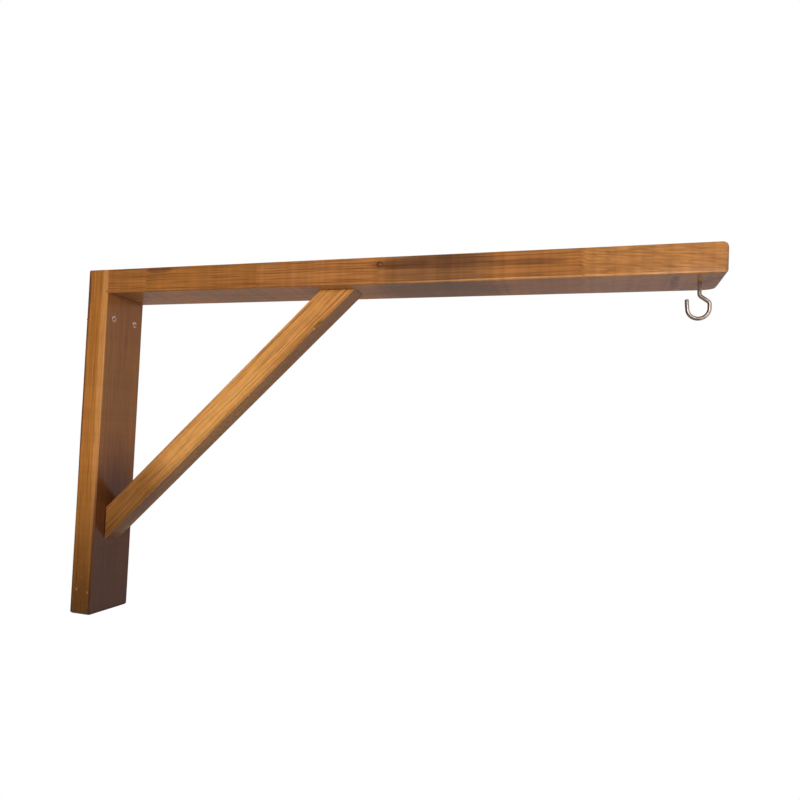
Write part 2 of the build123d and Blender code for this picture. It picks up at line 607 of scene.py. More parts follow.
@dataclass(frozen=True)
class MetalFinish:
    """Plated steel, dull in patches.

    Where wear names an attribute, the steel is dull but for the parts that it marks, which are rubbed bright
    in patches. Where there are shade heights, the steel turns dull and less metallic between the two, in
    millimetres: painted shade on the wire close under the arm. Patches and scuffs are counted per metre, and
    the spans hold the levels between which each goes from none to full.
    """

    name: str
    bright: Colour
    dull: Colour
    roughness: Pair
    patch: float = 240.0
    scuff: float = 2160.0
    scuff_share: float = 0.3
    scuff_span: Pair = (0.25, 0.75)
    stain_span: Pair = (0.4, 0.72)
    dull_span: Pair = (0.3, 0.7)
    dull_least: float = 0.85
    rub_span: Pair = (0.4, 0.52)
    bump: float = 0.08
    bump_depth: float = 0.2
    wear: str = ""
    seed: float = 0.0
    shade_heights: Pair | None = None
    shade_metal_loss: float = 0.3

    def dress(self) -> bpy.types.Material:
        """Make the material.

        Returns:
            The material.
        """
        material, bench = new_material(self.name)
        place = bench.place()
        stain = bench.noise(place, Cells(self.patch, self.patch, 4.0, 0.6))
        scuff = bench.noise(place, Cells(self.scuff, self.scuff, 3.0))
        rough = bench.plus(stain, bench.times(scuff, self.scuff_share))
        share = bench.ease(stain, *self.stain_span)
        metallic: Feed = 1.0
        if self.wear:
            worn = bench.add("ShaderNodeAttribute", attribute_name=self.wear).outputs["Fac"]
            moved = bench.vector("ADD", place, (self.seed, 0.0, self.seed))
            rubbed = bench.noise(moved, Cells(self.patch, self.patch, 1.0))
            worn = bench.times(worn, bench.ease(rubbed, *self.rub_span))
            dull = bench.ease(stain, *self.dull_span, self.dull_least, 1.0)
            share = bench.minus(dull, worn, clamp=True)
        # Painted shade: the wire turns dull and less metallic close under the arm
        if self.shade_heights:
            run = bench.ease(bench.split(place)[2], self.shade_heights[0] * MM, self.shade_heights[1] * MM)
            share = bench.math("MAXIMUM", share, run)
            metallic = bench.minus(1.0, bench.times(run, self.shade_metal_loss))
        feeds = {
            "Base Color": bench.blend(share, self.bright, self.dull),
            "Metallic": metallic,
            "Roughness": bench.ease(scuff, *self.scuff_span, *self.roughness),
            "Normal": bench.bump(self.bump, self.bump_depth, rough),
        }
        bench.surface("ShaderNodeBsdfPrincipled", feeds)
        return material


@dataclass(frozen=True)
class EndRound:
    """How far the four sides of a board are rounded over at one end, in millimetres."""

    near: float = 0.0
    far: float = 0.0
    low: float = 0.0
    high: float = 0.0
    steps: int = 10

    def depths(self) -> list[float]:
        """The depths below the end at which the board has a section.

        Returns:
            Distances from the end, the nearest first.
        """
        reach = max(self.near, self.far, self.low, self.high)
        count = self.steps + 1 if reach else 1
        return [(1 - cos(step / self.steps * pi / 2)) * reach for step in range(count)]

    def insets(self, depth: float) -> tuple[float, float, float, float]:
        """How far each side has come in at a depth below the end.

        Args:
            depth: The distance from the end, in millimetres.

        Returns:
            The insets of the near, far, low and high side.
        """

        def inset(radius: float) -> float:
            """One side's quarter circle."""
            lack = radius - depth
            return radius - sqrt(max(radius * radius - lack * lack, 0.0)) if lack > 0 else 0.0

        return inset(self.near), inset(self.far), inset(self.low), inset(self.high)


@dataclass(frozen=True)
class Nick:
    """A chip out of one long edge, in millimetres: steep where it starts, and running out along the board.

    Flatten says how fast the edge's round gives way to the chip's flat.
    """

    along: float
    corner: Corner
    length: float
    across: float
    through: float
    steep: float = 0.5
    flatten: float = 4.0
    steps: int = 6

    def share(self, along: float) -> float:
        """How much of the chip's full depth there is at a place along the board."""
        run = along - self.along
        return max(0.0, 1 - run / self.length if run >= 0 else 1 + run / self.steep)

    def stations(self) -> list[float]:
        """The places along the board where the chip needs a section."""
        runs = (step / self.steps * self.length for step in range(self.steps + 1))
        return [self.along - self.steep, *(self.along + run for run in runs)]


@dataclass(frozen=True)
class ScrewHole:
    """A hole with a countersunk or eased mouth, in millimetres."""

    mouth: Triple
    outward: Triple
    mouth_radius: float
    radius: float
    depth: float
    overrun: float = 1.0
    sides: int = 32

    def add_bit(self, form: bmesh.types.BMesh) -> None:
        """Add the solid that the hole takes away: a cone at its mouth and a cylinder below.

        Args:
            form: The mesh under construction.
        """
        turn = Vector(UP).rotation_difference(Vector(self.outward)).to_matrix().to_4x4()
        place = Matrix.Translation(Vector(self.mouth) * MM) @ turn
        outline = (
            (self.mouth_radius + self.overrun, self.overrun),
            (self.radius, self.radius - self.mouth_radius),
            (self.radius, -self.depth),
        )
        angles = [2 * pi * side / self.sides for side in range(self.sides)]
        rings = []
        for radius, height in outline:
            circle = [Vector((radius * cos(angle), radius * sin(angle), height)) * MM for angle in angles]
            rings.append([form.verts.new(place @ point) for point in circle])
        bridge(form, rings)


def bridge(form: bmesh.types.BMesh, loops: list[list[bmesh.types.BMVert]]) -> None:
    """Close a row of loops to a solid: sides between them and a face at each end.

    Args:
        form: The mesh under construction.
        loops: The loops, with as many points each.
    """
    for lower, upper in zip(loops, loops[1:]):
        for index in range(len(lower)):
            after = (index + 1) % len(lower)
            form.faces.new((lower[index], lower[after], upper[after], upper[index]))
    form.faces.new(reversed(loops[0]))
    form.faces.new(loops[-1])


def to_mesh(form: bmesh.types.BMesh, name: str) -> bpy.types.Mesh:
    """Turn a closed form into a mesh whose faces point outwards.

    Args:
        form: The form, which is used up.
        name: The mesh's name.

    Returns:
        The mesh.
    """
    mesh = bpy.data.meshes.new(name)
    bmesh.ops.recalc_face_normals(form, faces=form.faces)
    form.to_mesh(mesh)
    form.free()
    return mesh


@dataclass
class Board:
    """A planed board, lofted along its grain with edges eased by hand.

    Sizes are in millimetres. The section's middle starts at the start point, near is -Y, and low and high
    are the two sides through the board: high is the upper one on the arm and the brace, and the wall's on the
    post. A slant tilts the cut at an end. The swings say how far faces and eased edges wander, in millimetres
    and as a share, in waves of the given lengths, and the gaps keep the waves of its sides and edges, and of
    boards with other seeds, apart.
    """

    name: str
    node: str
    start: Vector
    run: Vector
    length: float
    width: float
    thickness: float
    finish: WoodFinish
    seed: float
    ease: float = 1.2
    start_round: EndRound = EndRound()
    finish_round: EndRound = EndRound()
    start_slant: float = 0.0
    finish_slant: float = 0.0
    holes: tuple[ScrewHole, ...] = ()
    nicks: tuple[Nick, ...] = ()
    station_gap: float = 9.0
    corner_steps: int = 6
    width_steps: int = 7
    thickness_steps: int = 4
    face_swing: float = 0.12
    face_wave: float = 90.0
    ease_swing: float = 0.15
    ease_wave: float = 45.0
    track_gap: float = 7.3
    seed_gap: float = 1.7
    frame: Matrix = field(init=False)

    def __post_init__(self) -> None:
        """Set up the board's own directions."""
        across = Vector((0, 1, 0))
        through = self.run.cross(across)
        self.frame = Matrix((self.run, across, through)).transposed().to_4x4()
        self.frame.translation = self.start * MM

    def build(self) -> None:
        """Loft the board, drill it, dress it and hand it over."""
        form = bmesh.new()
        bridge(form, [self.section(form, along) for along in self.stations()])
        mesh = to_mesh(form, self.name)
        mesh.materials.append(self.finish.dress(self))
        piece = new_object(self.name, mesh)
        self.drill(piece)
        hand_over(piece, self.node)

    def stations(self) -> list[float]:
        """The places along the board where it has a section, close together at rounded ends and chips.

        Returns:
            Distances from the start, in order.
        """
        first = self.start_round.depths()
        last = [self.length - depth for depth in reversed(self.finish_round.depths())]
        count = ceil((last[0] - first[-1]) / self.station_gap)
        step = (last[0] - first[-1]) / count
        middle = [first[-1] + index * step for index in range(1, count)]
        close = [along for nick in self.nicks for along in nick.stations()]
        return sorted(first + middle + last + close)

    def wander(self, along: float, track: int, wave: float) -> float:
        """A slow wave along the board, -1 to 1, with a track of its own for each side and edge."""
        place = Vector((along / wave + self.seed, track * self.track_gap, self.seed * self.seed_gap))
        return noise.noise(place)

    def section(self, form: bmesh.types.BMesh, along: float) -> list[bmesh.types.BMVert]:
        """One section of the board: its eased corners, with the flat sides between them divided.

        Args:
            form: The mesh under construction.
            along: The section's place along the board.

        Returns:
            Its points, in order round the section.
        """
        corners = self.corners(along)
        outline: list[Pair] = []
        for index, corner in enumerate(corners):
            here = corner[-1]
            there = corners[(index + 1) % len(corners)][0]
            span = there[0] - here[0], there[1] - here[1]
            close = self.ease / hypot(*span)
            count = self.thickness_steps if index % 2 else self.width_steps
            shares = (close, *(step / count for step in range(1, count)), 1 - close)
            outline += corner
            outline += [(here[0] + share * span[0], here[1] + share * span[1]) for share in shares]
        share = along / self.length
        slant = (1 - share) * self.start_slant + share * self.finish_slant
        points = [Vector((along + slant * through, across, through)) * MM for across, through in outline]
        return [form.verts.new(self.frame @ point) for point in points]

    def corners(self, along: float) -> list[list[Pair]]:
        """The four corners of a section whose sides wander: quarter rounds, or the flat of a chip.

        Args:
            along: The section's place along the board.

        Returns:
            Each corner's points, across and through the board.
        """
        at_start = self.start_round.insets(along)
        at_finish = self.finish_round.insets(self.length - along)
        near, far, low, high = (max(pair) for pair in zip(at_start, at_finish))
        swing = [self.face_swing * self.wander(along, track, self.face_wave) for track in range(4)]
        sides = {-1: -self.width / 2 + near + swing[0], 1: self.width / 2 - far + swing[1]}
        faces = {-1: -self.thickness / 2 + low + swing[2], 1: self.thickness / 2 - high + swing[3]}
        corners = []
        for index, corner in enumerate(Corner):
            side, face = corner.value
            wide = self.ease * (1 + self.ease_swing * self.wander(along, 4 + index, self.ease_wave))
            deep = wide
            bulge = 1.0
            for nick in self.nicks:
                if nick.corner is corner:
                    wide += nick.across * nick.share(along)
                    deep += nick.through * nick.share(along)
                    bulge -= min(1.0, nick.flatten * nick.share(along))
            points = []
            for step in range(self.corner_steps + 1):
                angle = -pi + index * pi / 2 + step / self.corner_steps * pi / 2
                flat = abs(cos(angle)) + abs(sin(angle))
                out = bulge + (1 - bulge) / flat
                inset = (1 - out * abs(cos(angle))) * wide, (1 - out * abs(sin(angle))) * deep
                points.append((sides[side] - side * inset[0], faces[face] - face * inset[1]))
            corners.append(points)
        return corners

    def drill(self, piece: bpy.types.Object) -> None:
        """Cut the board's screw holes and settle its mesh.

        Args:
            piece: The board.
        """
        if not self.holes:
            settle(piece)
            return
        form = bmesh.new()
        for hole in self.holes:
            hole.add_bit(form)
        mesh = to_mesh(form, "drill")
        drill = new_object("drill", mesh)
        cut = piece.modifiers.new("holes", "BOOLEAN")
        cut.operation = "DIFFERENCE"
        cut.solver = "EXACT"
        cut.object = drill
        settle(piece)
        bpy.data.objects.remove(drill)
        bpy.data.meshes.remove(mesh)


class GeometryTree:
    """A Geometry Nodes tree with named inputs, and the modifier that runs it.

    The ridge of a thread tapers to its least over a share of its length at each end.
    """

    ridge_sides: int = 4
    taper_share: float = 0.04
    taper_least: float = 0.05

    def __init__(self, name: str, sizes: dict[str, float], seed: int, material: bpy.types.Material) -> None:
        """Start a tree that takes a geometry and named inputs, and gives a geometry.

        Args:
            name: The tree's name.
            sizes: The sizes in metres and the counts, by name.
            seed: The seed of what is random.
            material: What the result is dressed in.
        """
        self.tree = bpy.data.node_groups.new(name, "GeometryNodeTree")
        self.bench = NodeBench(self.tree)
        self.values: dict[str, object] = {}
        for way in ("INPUT", "OUTPUT"):
            self.tree.interface.new_socket("Geometry", in_out=way, socket_type="NodeSocketGeometry")
        named: list[tuple[str, str, object]] = [(label, "Float", size) for label, size in sizes.items()]
        for label, kind, value in (*named, ("Seed", "Int", seed), ("Material", "Material", material)):
            socket = self.tree.interface.new_socket(label, in_out="INPUT", socket_type="NodeSocket" + kind)
            self.values[socket.identifier] = value
        self.sockets = self.bench.add("NodeGroupInput").outputs

    def node(self, kind: str, feeds: Feeds | None = None, **settings: object) -> Socket:
        """Add a node and give its first output."""
        return self.bench.add("GeometryNode" + kind, feeds, **settings).outputs[0]

    def attribute(self, name: str, data_type: str = "FLOAT") -> Socket:
        """Read one of the host's attributes."""
        return self.node("InputNamedAttribute", {"Name": name}, data_type=data_type)

    def circle(self, radius: Feed, points: int) -> Socket:
        """A circle in the plane XY."""
        return self.node("CurvePrimitiveCircle", {"Resolution": points, "Radius": radius}, mode="RADIUS")

    def round_bar(self, path: Socket, girth: Feed, sides: int) -> Socket:
        """A round bar along a path, with its radius at each point and its number of sides."""
        ring = self.circle(1.0, sides)
        return self.node("CurveToMesh", {0: path, "Profile Curve": ring, "Scale": girth, "Fill Caps": True})

    def thread(self, steps: int) -> Socket:
        """A screw thread that climbs from the plane XY, its ends tapered, in the sizes of the tree's inputs.

        Args:
            steps: How many points each turn has.

        Returns:
            Its closed mesh.
        """
        bench = self.bench
        feeds = {
            "Resolution": steps,
            "Rotations": self.sockets["Turns"],
            "Start Radius": self.sockets["Core radius"],
            "End Radius": self.sockets["Core radius"],
            "Height": self.sockets["Climb"],
        }
        upright = self.node("SetCurveNormal", {"Curve": self.node("CurveSpiral", feeds)}, mode="Z_UP")
        share = bench.add("GeometryNodeSplineParameter").outputs["Factor"]
        ends = bench.times(share, bench.minus(1.0, share))
        taper = bench.ease(ends, 0.0, self.taper_share, self.taper_least, 1.0)
        return self.round_bar(upright, bench.times(taper, self.sockets["Ridge"]), self.ridge_sides)

    def worn(self, shape: Socket, share: Feed = 1.0) -> Socket:
        """The shape, marked with how far it is worn to bright metal."""
        feeds = {"Geometry": shape, "Name": WEAR, "Value": share}
        return self.node("StoreNamedAttribute", feeds, data_type="FLOAT", domain="POINT")

    def moved(self, shape: Socket, x: Feed = 0.0, z: Feed = 0.0) -> Socket:
        """The shape, moved out and up."""
        return self.node("Transform", {"Geometry": shape, "Translation": self.bench.point(x=x, z=z)})

    def joined(self, *shapes: Socket) -> Socket:
        """Several shapes as one.

        Args:
            *shapes: The shapes.

        Returns:
            Their joined geometry.
        """
        node = self.bench.add("GeometryNodeJoinGeometry")
        for shape in shapes:
            self.tree.links.new(shape, node.inputs[0])
        return node.outputs[0]

    def finish(self, shape: Socket) -> None:
        """End the tree with plain, dressed geometry."""
        feeds = {0: self.node("RealizeInstances", {0: shape}), "Material": self.sockets["Material"]}
        self.bench.add("NodeGroupOutput", {0: self.node("SetMaterial", feeds)})

    def run(self, host: bpy.types.Object) -> None:
        """Run the tree on a host and keep the result as its mesh.

        Args:
            host: The object whose mesh the tree starts from.
        """
        modifier = host.modifiers.new(self.tree.name, "NODES")
        modifier.node_group = self.tree
        for identifier, value in self.values.items():
            modifier[identifier] = value
        settle(host)


@dataclass
class ScrewSet:
    """Like countersunk screws, each at its own place, turned by the seed. Sizes are in millimetres."""

    name: str
    node: str
    heads: tuple[Triple, ...]
    outward: tuple[Triple, ...]
    length: float
    finish: MetalFinish
    seed: int
    plain_length: float = 30.0
    head_radius: float = 4.25
    shank_radius: float = 1.6
    core_radius: float = 1.5
    thread_radius: float = 2.25
    point_length: float = 5.0
    pitch: float = 2.0
    sink: float = 0.75
    rim: float = 0.25
    lip: float = 0.5
    recess_width: float = 4.6
    recess_slot: float = 1.1
    recess_depth: float = 2.0
    sides: int = 32
    thread_steps: int = 24
    lip_steps: int = 40
    lip_sides: int = 12

    def build(self) -> None:
        """Set a screw at every place and hand them over as one piece."""
        mesh = bpy.data.meshes.new(self.name)
        mesh.from_pydata([Vector(head) * MM for head in self.heads], [], [])
        outward = mesh.attributes.new("outward", "FLOAT_VECTOR", "POINT")
        outward.data.foreach_set("vector", [part for way in self.outward for part in way])
        piece = new_object(self.name, mesh)
        self.tree().run(piece)
        hand_over(piece, self.node)

    def profile(self) -> list[Pair]:
        """The screw's outline from its head to its point.

        Returns:
            Depths below the wood and radii.
        """
        head = self.sink + self.rim
        return [
            (self.sink, self.head_radius - self.rim),
            (head, self.head_radius),
            (head + (self.head_radius - self.shank_radius), self.shank_radius),
            (self.plain_length, self.shank_radius),
            (self.plain_length + self.rim, self.core_radius),
            (self.sink + self.length - self.point_length, self.core_radius),
            (self.sink + self.length, self.rim),
        ]

    def sizes(self) -> dict[str, float]:
        """What the tree takes.

        Returns:
            The sizes in metres and the thread's turns, by name.
        """
        climb = self.length - self.plain_length + self.sink - self.point_length / 2
        sizes = {
            "Recess width": self.recess_width * MM,
            "Recess slot": self.recess_slot * MM,
            "Recess depth": self.recess_depth * MM,
            "Core radius": self.core_radius * MM,
            "Ridge": (self.thread_radius - self.core_radius) * MM,
            "Turns": climb / self.pitch,
            "Climb": climb * MM,
            "Thread end": -(self.plain_length + climb) * MM,
            "Lip": self.lip * MM,
            "Lip radius": (self.head_radius - self.lip) * MM,
        }
        for number, (depth, radius) in enumerate(self.profile()):
            sizes[f"Depth {number}"] = -depth * MM
            sizes[f"Radius {number}"] = radius * MM
        return sizes

    def tree(self) -> GeometryTree:
        """The tree that turns the screw, cuts its recess, winds its thread and sets it at each place.

        Returns:
            The tree.
        """
        tree = GeometryTree(self.name, self.sizes(), self.seed, self.finish.dress())
        body = tree.round_bar(*self.turned_path(tree), self.sides)
        height = tree.bench.split(tree.node("InputPosition"))[2]
        flat = tree.bench.ease(height, -(self.sink + self.rim) * MM, -(self.sink + self.rim / 2) * MM)
        solid = tree.worn(self.cut_recess(tree, body), flat)
        ridge = tree.moved(tree.thread(self.thread_steps), z=tree.sockets["Thread end"])
        circle = tree.circle(tree.sockets["Lip radius"], self.lip_steps)
        lip = tree.worn(tree.round_bar(circle, tree.sockets["Lip"], self.lip_sides))
        screw = tree.joined(solid, ridge, tree.moved(lip, z=tree.sockets["Depth 0"]))
        tree.finish(self.set_out(tree, screw))
        return tree

    def turned_path(self, tree: GeometryTree) -> tuple[Socket, Socket]:
        """The screw's axis, with a point at each change of its outline.

        Args:
            tree: The tree.

        Returns:
            The path, and the radius at each of its points.
        """
        count = len(self.profile())
        index = tree.node("InputIndex")
        switches = []
        for part in ("Depth", "Radius"):
            switch = tree.bench.add("GeometryNodeIndexSwitch", {"Index": index}, data_type="FLOAT")
            while len(switch.index_switch_items) < count:
                switch.index_switch_items.new()
            for number in range(count):
                tree.bench.feed(switch.inputs[number + 1], tree.sockets[f"{part} {number}"])
            switches.append(switch.outputs[0])
        line = tree.node("MeshLine", {"Count": count}, mode="OFFSET")
        feeds = {"Geometry": line, "Position": tree.bench.point(z=switches[0])}
        return tree.node("MeshToCurve", {0: tree.node("SetPosition", feeds)}), switches[1]

    @staticmethod
    def cut_recess(tree: GeometryTree, body: Socket) -> Socket:
        """Sink a cross recess in the head.

        Args:
            tree: The tree.
            body: The turned screw.

        Returns:
            The screw with its recess.
        """
        bench = tree.bench
        sockets = tree.sockets
        height = bench.times(sockets["Recess depth"], 2.0)
        cut = bench.add("GeometryNodeMeshBoolean", {"Mesh 1": body}, operation="DIFFERENCE")
        for first, second in (("Recess width", "Recess slot"), ("Recess slot", "Recess width")):
            bar = tree.node("MeshCube", {"Size": bench.point(sockets[first], sockets[second], height)})
            bench.feed(cut.inputs["Mesh 2"], tree.moved(bar, z=sockets["Depth 0"]))
        return cut.outputs[0]

    @staticmethod
    def set_out(tree: GeometryTree, screw: Socket) -> Socket:
        """Put a screw at each of the host's points, turned as it was left by the driver.

        Args:
            tree: The tree.
            screw: One screw.

        Returns:
            The instances.
        """
        bench = tree.bench
        way = tree.attribute("outward", "FLOAT_VECTOR")
        aim = bench.add("FunctionNodeAlignRotationToVector", {"Vector": way}, axis="Z").outputs[0]
        spin = bench.add("FunctionNodeRandomValue", {3: pi, "Seed": tree.sockets["Seed"]}, data_type="FLOAT")
        feeds = {"Axis": UP, "Angle": spin.outputs[1]}
        about = bench.add("FunctionNodeAxisAngleToRotation", feeds).outputs[0]
        feeds = {"Rotation": aim, "Rotate By": about}
        rotation = bench.add("FunctionNodeRotateRotation", feeds, rotation_space="LOCAL").outputs[0]
        feeds = {"Points": tree.sockets["Geometry"], "Instance": screw, "Rotation": rotation}
        return tree.node("InstanceOnPoints", feeds)


@dataclass
class WireHook:
    """A hook bent from one wire, with a wood thread on its straight end. Sizes are in millimetres."""

    name: str
    node: str
    seat: Vector
    finish: MetalFinish
    wire: float = 4.0
    loop_bore: float = 16.4
    loop_shift: float = -0.5
    neck_drop: float = 13.6
    neck_slope: float = 36.0
    neck_bend: float = 5.0
    shoulder_rise: float = 6.1
    shoulder_bend: float = 4.0
    leg_lean: float = 5.0
    tip_rise: float = 9.5
    tip_round: float = 1.0
    tip_steps: int = 5
    thread_length: float = 20.0
    point_length: float = 5.0
    point_share: float = 0.08
    core_share: float = 0.78
    pitch: float = 2.2
    sides: int = 28
    thread_steps: int = 28
    bend_steps: int = 18

    def loop_radius(self) -> float:
        """The radius of the loop at the middle of the wire."""
        return (self.loop_bore + self.wire) / 2

    def neck_rise(self) -> float:
        """How far the neck's corner lies above the loop's middle."""
        reach = self.loop_radius() + self.loop_shift
        return self.shoulder_rise + reach * tan(radians(self.neck_slope))

    def stops(self) -> list[tuple[float, float, float, float]]:
        """The wire's corners, from its point in the wood to its tip.

        Returns:
            For each corner its place out from the shank and above the loop's middle, the radius of its bend,
            and the wire's thickness there as a share.
        """
        loop = self.loop_radius()
        right = self.loop_shift + loop
        face = self.neck_rise() + self.neck_drop
        thread = face + self.thread_length
        lean = tan(radians(self.leg_lean))
        foot = self.loop_shift - loop * tan(pi / 4 - radians(self.leg_lean) / 2)
        stops = [
            (0.0, thread + self.point_length, 0.0, self.point_share),
            (0.0, thread, 0.0, self.core_share),
            (0.0, face + self.pitch, 0.0, self.core_share),
            (0.0, face + self.pitch / 2, 0.0, 1.0),
            (0.0, self.neck_rise(), self.neck_bend, 1.0),
            (right, self.shoulder_rise, self.shoulder_bend, 1.0),
            (right, -loop, loop, 1.0),
            (foot, -loop, loop, 1.0),
        ]
        for step in range(self.tip_steps + 1):
            angle = step / self.tip_steps * pi / 2
            lift = self.tip_rise - self.tip_round * (1 - sin(angle))
            girth = 1 - self.tip_round * (1 - cos(angle)) / (self.wire / 2)
            stops.append((foot - (lift + loop) * lean, lift, 0.0, girth))
        return stops

    def build(self) -> None:
        """Bend the wire, cut its thread and hand it over."""
        stops = self.stops()
        middle = self.seat - Vector((0, 0, self.neck_drop + self.neck_rise()))
        mesh = bpy.data.meshes.new(self.name)
        corners = [(middle + Vector((out, 0, up))) * MM for out, up, _, _ in stops]
        mesh.from_pydata(corners, [(index, index + 1) for index in range(len(stops) - 1)], [])
        for name, part, scale in (("bend", 2, MM), ("girth", 3, self.wire / 2 * MM)):
            layer = mesh.attributes.new(name, "FLOAT", "POINT")
            layer.data.foreach_set("value", [stop[part] * scale for stop in stops])
        piece = new_object(self.name, mesh)
        self.tree().run(piece)
        hand_over(piece, self.node)

    def tree(self) -> GeometryTree:
        """The tree that rounds the wire's corners, gives it its thickness and winds its thread.

        Returns:
            The tree.
        """
        core = self.wire / 2 * self.core_share
        sizes = {
            "Bend steps": self.bend_steps,
            "Core radius": core * MM,
            "Ridge": (self.wire / 2 - core) * MM,
            "Turns": self.thread_length / self.pitch,
            "Climb": self.thread_length * MM,
            "Seat out": self.seat.x * MM,
            "Seat up": self.seat.z * MM,
        }
        tree = GeometryTree(self.name, sizes, 0, self.finish.dress())
        sockets = tree.sockets
        feeds = {
            "Curve": tree.node("MeshToCurve", {0: sockets["Geometry"]}),
            "Count": sockets["Bend steps"],
            "Radius": tree.attribute("bend"),
            "Limit Radius": True,
        }
        path = tree.node("FilletCurve", feeds, mode="POLY")
        wire = tree.round_bar(path, tree.attribute("girth"), self.sides)
        ridge = tree.thread(self.thread_steps)
        tree.finish(tree.joined(wire, tree.moved(ridge, x=sockets["Seat out"], z=sockets["Seat up"])))
        return tree


@dataclass
class BoardFrame:
    """The post, the arm and the brace between them, placed by the frame's nodes. Sizes are in millimetres."""

    screw_spacing: float = 40.0
    screw_inset: float = 15.0
    sink_radius: float = 4.6
    clear_radius: float = 2.5
    clear_depth: float = 31.0
    hook_inset: float = 20.0
    hook_mouth_radius: float = 2.5
    hook_hole_radius: float = 2.1
    hook_hole_depth: float = 26.0
    brace_ease: float = 1.0
    chip_length: float = 11.0
    chip_across: float = 8.0
    chip_through: float = 2.6
    slope_steps: int = 20
    post_low: Vector = field(init=False)
    post_high: Vector = field(init=False)
    arm_low: Vector = field(init=False)
    arm_high: Vector = field(init=False)
    brace_low: Vector = field(init=False)
    brace_high: Vector = field(init=False)

    def __post_init__(self) -> None:
        """Read where the boards lie."""
        self.post_low, self.post_high = (Vector(corner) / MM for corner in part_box("wall_post"))
        self.arm_low, self.arm_high = (Vector(corner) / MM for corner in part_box("arm"))
        self.brace_low, self.brace_high = (Vector(corner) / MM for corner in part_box("brace"))

    def foot_screw(self) -> Triple:
        """The head of the screw from the post's back into the brace's foot."""
        return 0.0, 0.0, self.brace_corners()[0].z - self.screw_inset

    def head_screw(self) -> Triple:
        """The head of the screw from the arm's top into the brace's head."""
        return self.brace_corners()[1].x + self.screw_inset, 0.0, self.arm_high.z

    def wall_screws(self) -> tuple[Triple, ...]:
        """The heads of the two screws through the post into the wall."""
        return tuple((self.post_high.x, side * self.screw_spacing / 2, 0.0) for side in (-1, 1))

    def arm_screws(self) -> tuple[Triple, ...]:
        """The heads of the two screws from the post's back into the arm's end."""
        middle = (self.arm_low.z + self.arm_high.z) / 2
        return tuple((0.0, side * self.screw_spacing / 2, middle) for side in (-1, 1))

    def hook_seat(self) -> Vector:
        """Where the hook's shank goes into the arm's underside."""
        return Vector((self.arm_high.x - self.hook_inset, 0, self.arm_low.z))

    def brace_thickness(self) -> float:
        """The side of the brace's square section."""
        return self.brace_high.y - self.brace_low.y

    def brace_slope(self) -> float:
        """The brace's angle above level, found in steps, since the cuts at its ends follow from it too.

        Returns:
            The angle, in radians.
        """
        thick = self.brace_thickness()
        run = self.brace_high.x - self.brace_low.x
        rise = self.brace_high.z - self.brace_low.z
        slope = atan2(rise, run)
        for _ in range(self.slope_steps):
            slope = atan2(rise - thick / cos(slope), run - thick / sin(slope))
        return slope

    def brace_corners(self) -> tuple[Vector, Vector]:
        """The ends of the brace's upper edge.

        Returns:
            The end on the post's front and the one on the arm's underside.
        """
        rise = self.brace_thickness() / cos(self.brace_slope())
        out = self.brace_thickness() / sin(self.brace_slope())
        foot, head = self.brace_low, self.brace_high
        return Vector((foot.x, 0, foot.z + rise)), Vector((head.x - out, 0, head.z))

    def sunk(self, mouth: Triple, outward: Triple) -> ScrewHole:
        """A countersunk hole right through a board."""
        return ScrewHole(mouth, outward, self.sink_radius, self.clear_radius, self.clear_depth)

    def make_post(self) -> Board:
        """The upright board on the wall.

        Returns:
            The post.
        """
        low, high = self.post_low, self.post_high
        holes = [self.sunk(place, FRONT) for place in self.wall_screws()]
        holes += [self.sunk(place, BACK) for place in (*self.arm_screws(), self.foot_screw())]
        return Board(
            name="post_board",
            node="wall_post",
            start=Vector(((low.x + high.x) / 2, 0, low.z)),
            run=Vector(UP),
            length=high.z - low.z,
            width=high.y - low.y,
            thickness=high.x - low.x,
            finish=POST_WOOD,
            seed=3.0,
            start_round=EndRound(near=3, far=3, low=3, high=3),
            finish_round=EndRound(near=0.8, far=0.8, low=0.4, high=2),
            holes=tuple(holes),
        )

    def make_arm(self) -> Board:
        """The long board that carries the hook.

        Returns:
            The arm.
        """
        low, high = self.arm_low, self.arm_high
        sizes = self.hook_mouth_radius, self.hook_hole_radius, self.hook_hole_depth
        hook = ScrewHole(tuple(self.hook_seat()), DOWN, *sizes)
        return Board(
            name="arm_board",
            node="arm",
            start=Vector((low.x, 0, (low.z + high.z) / 2)),
            run=Vector(FRONT),
            length=high.x - low.x,
            width=high.y - low.y,
            thickness=high.z - low.z,
            finish=ARM_WOOD,
            seed=11.0,
            start_round=EndRound(near=0.6, far=0.6, low=0.6, high=0.6),
            finish_round=EndRound(near=3, far=14, low=3, high=6),
            holes=(self.sunk(self.head_screw(), UP), hook),
        )

    def make_brace(self) -> Board:
        """The slanted stick under the arm, cut flat at both ends.

        Returns:
            The brace.
        """
        foot, head = self.brace_corners()
        thick = self.brace_thickness()
        run = (head - foot).normalized()
        inward = Vector((run.z, 0, -run.x))
        start = foot + inward * thick / 2
        start -= run * ((start.x - foot.x) / run.x)
        end = head + inward * thick / 2
        end += run * ((head.z - end.z) / run.z)
        length = (end - start).length
        slope = self.brace_slope()
        foot_slant, head_slant = tan(slope), -1 / tan(slope)
        low = -thick / 2
        chip = (CHIP - start).dot(run) - foot_slant * low
        chip /= 1 + (head_slant - foot_slant) * low / length
        nick = Nick(chip, Corner.NEAR_LOW, self.chip_length, self.chip_across, self.chip_through)
        return Board(
            name="brace_stick",
            node="brace",
            start=start,
            run=run,
            length=length,
            width=thick,
            thickness=thick,
            finish=BRACE_WOOD,
            seed=23.0,
            ease=self.brace_ease,
            start_slant=foot_slant,
            finish_slant=head_slant,
            nicks=(nick,),
            width_steps=4,
        )

    def build(self) -> None:
        """Make the three boards."""
        for board in (self.make_post(), self.make_arm(), self.make_brace()):
            board.build()


@dataclass(frozen=True)
class Lamp:
    """A soft rectangular lamp: its place, its width and height in metres, and its power in watts."""

    name: str
    place: Triple
    size: Pair
    power: float


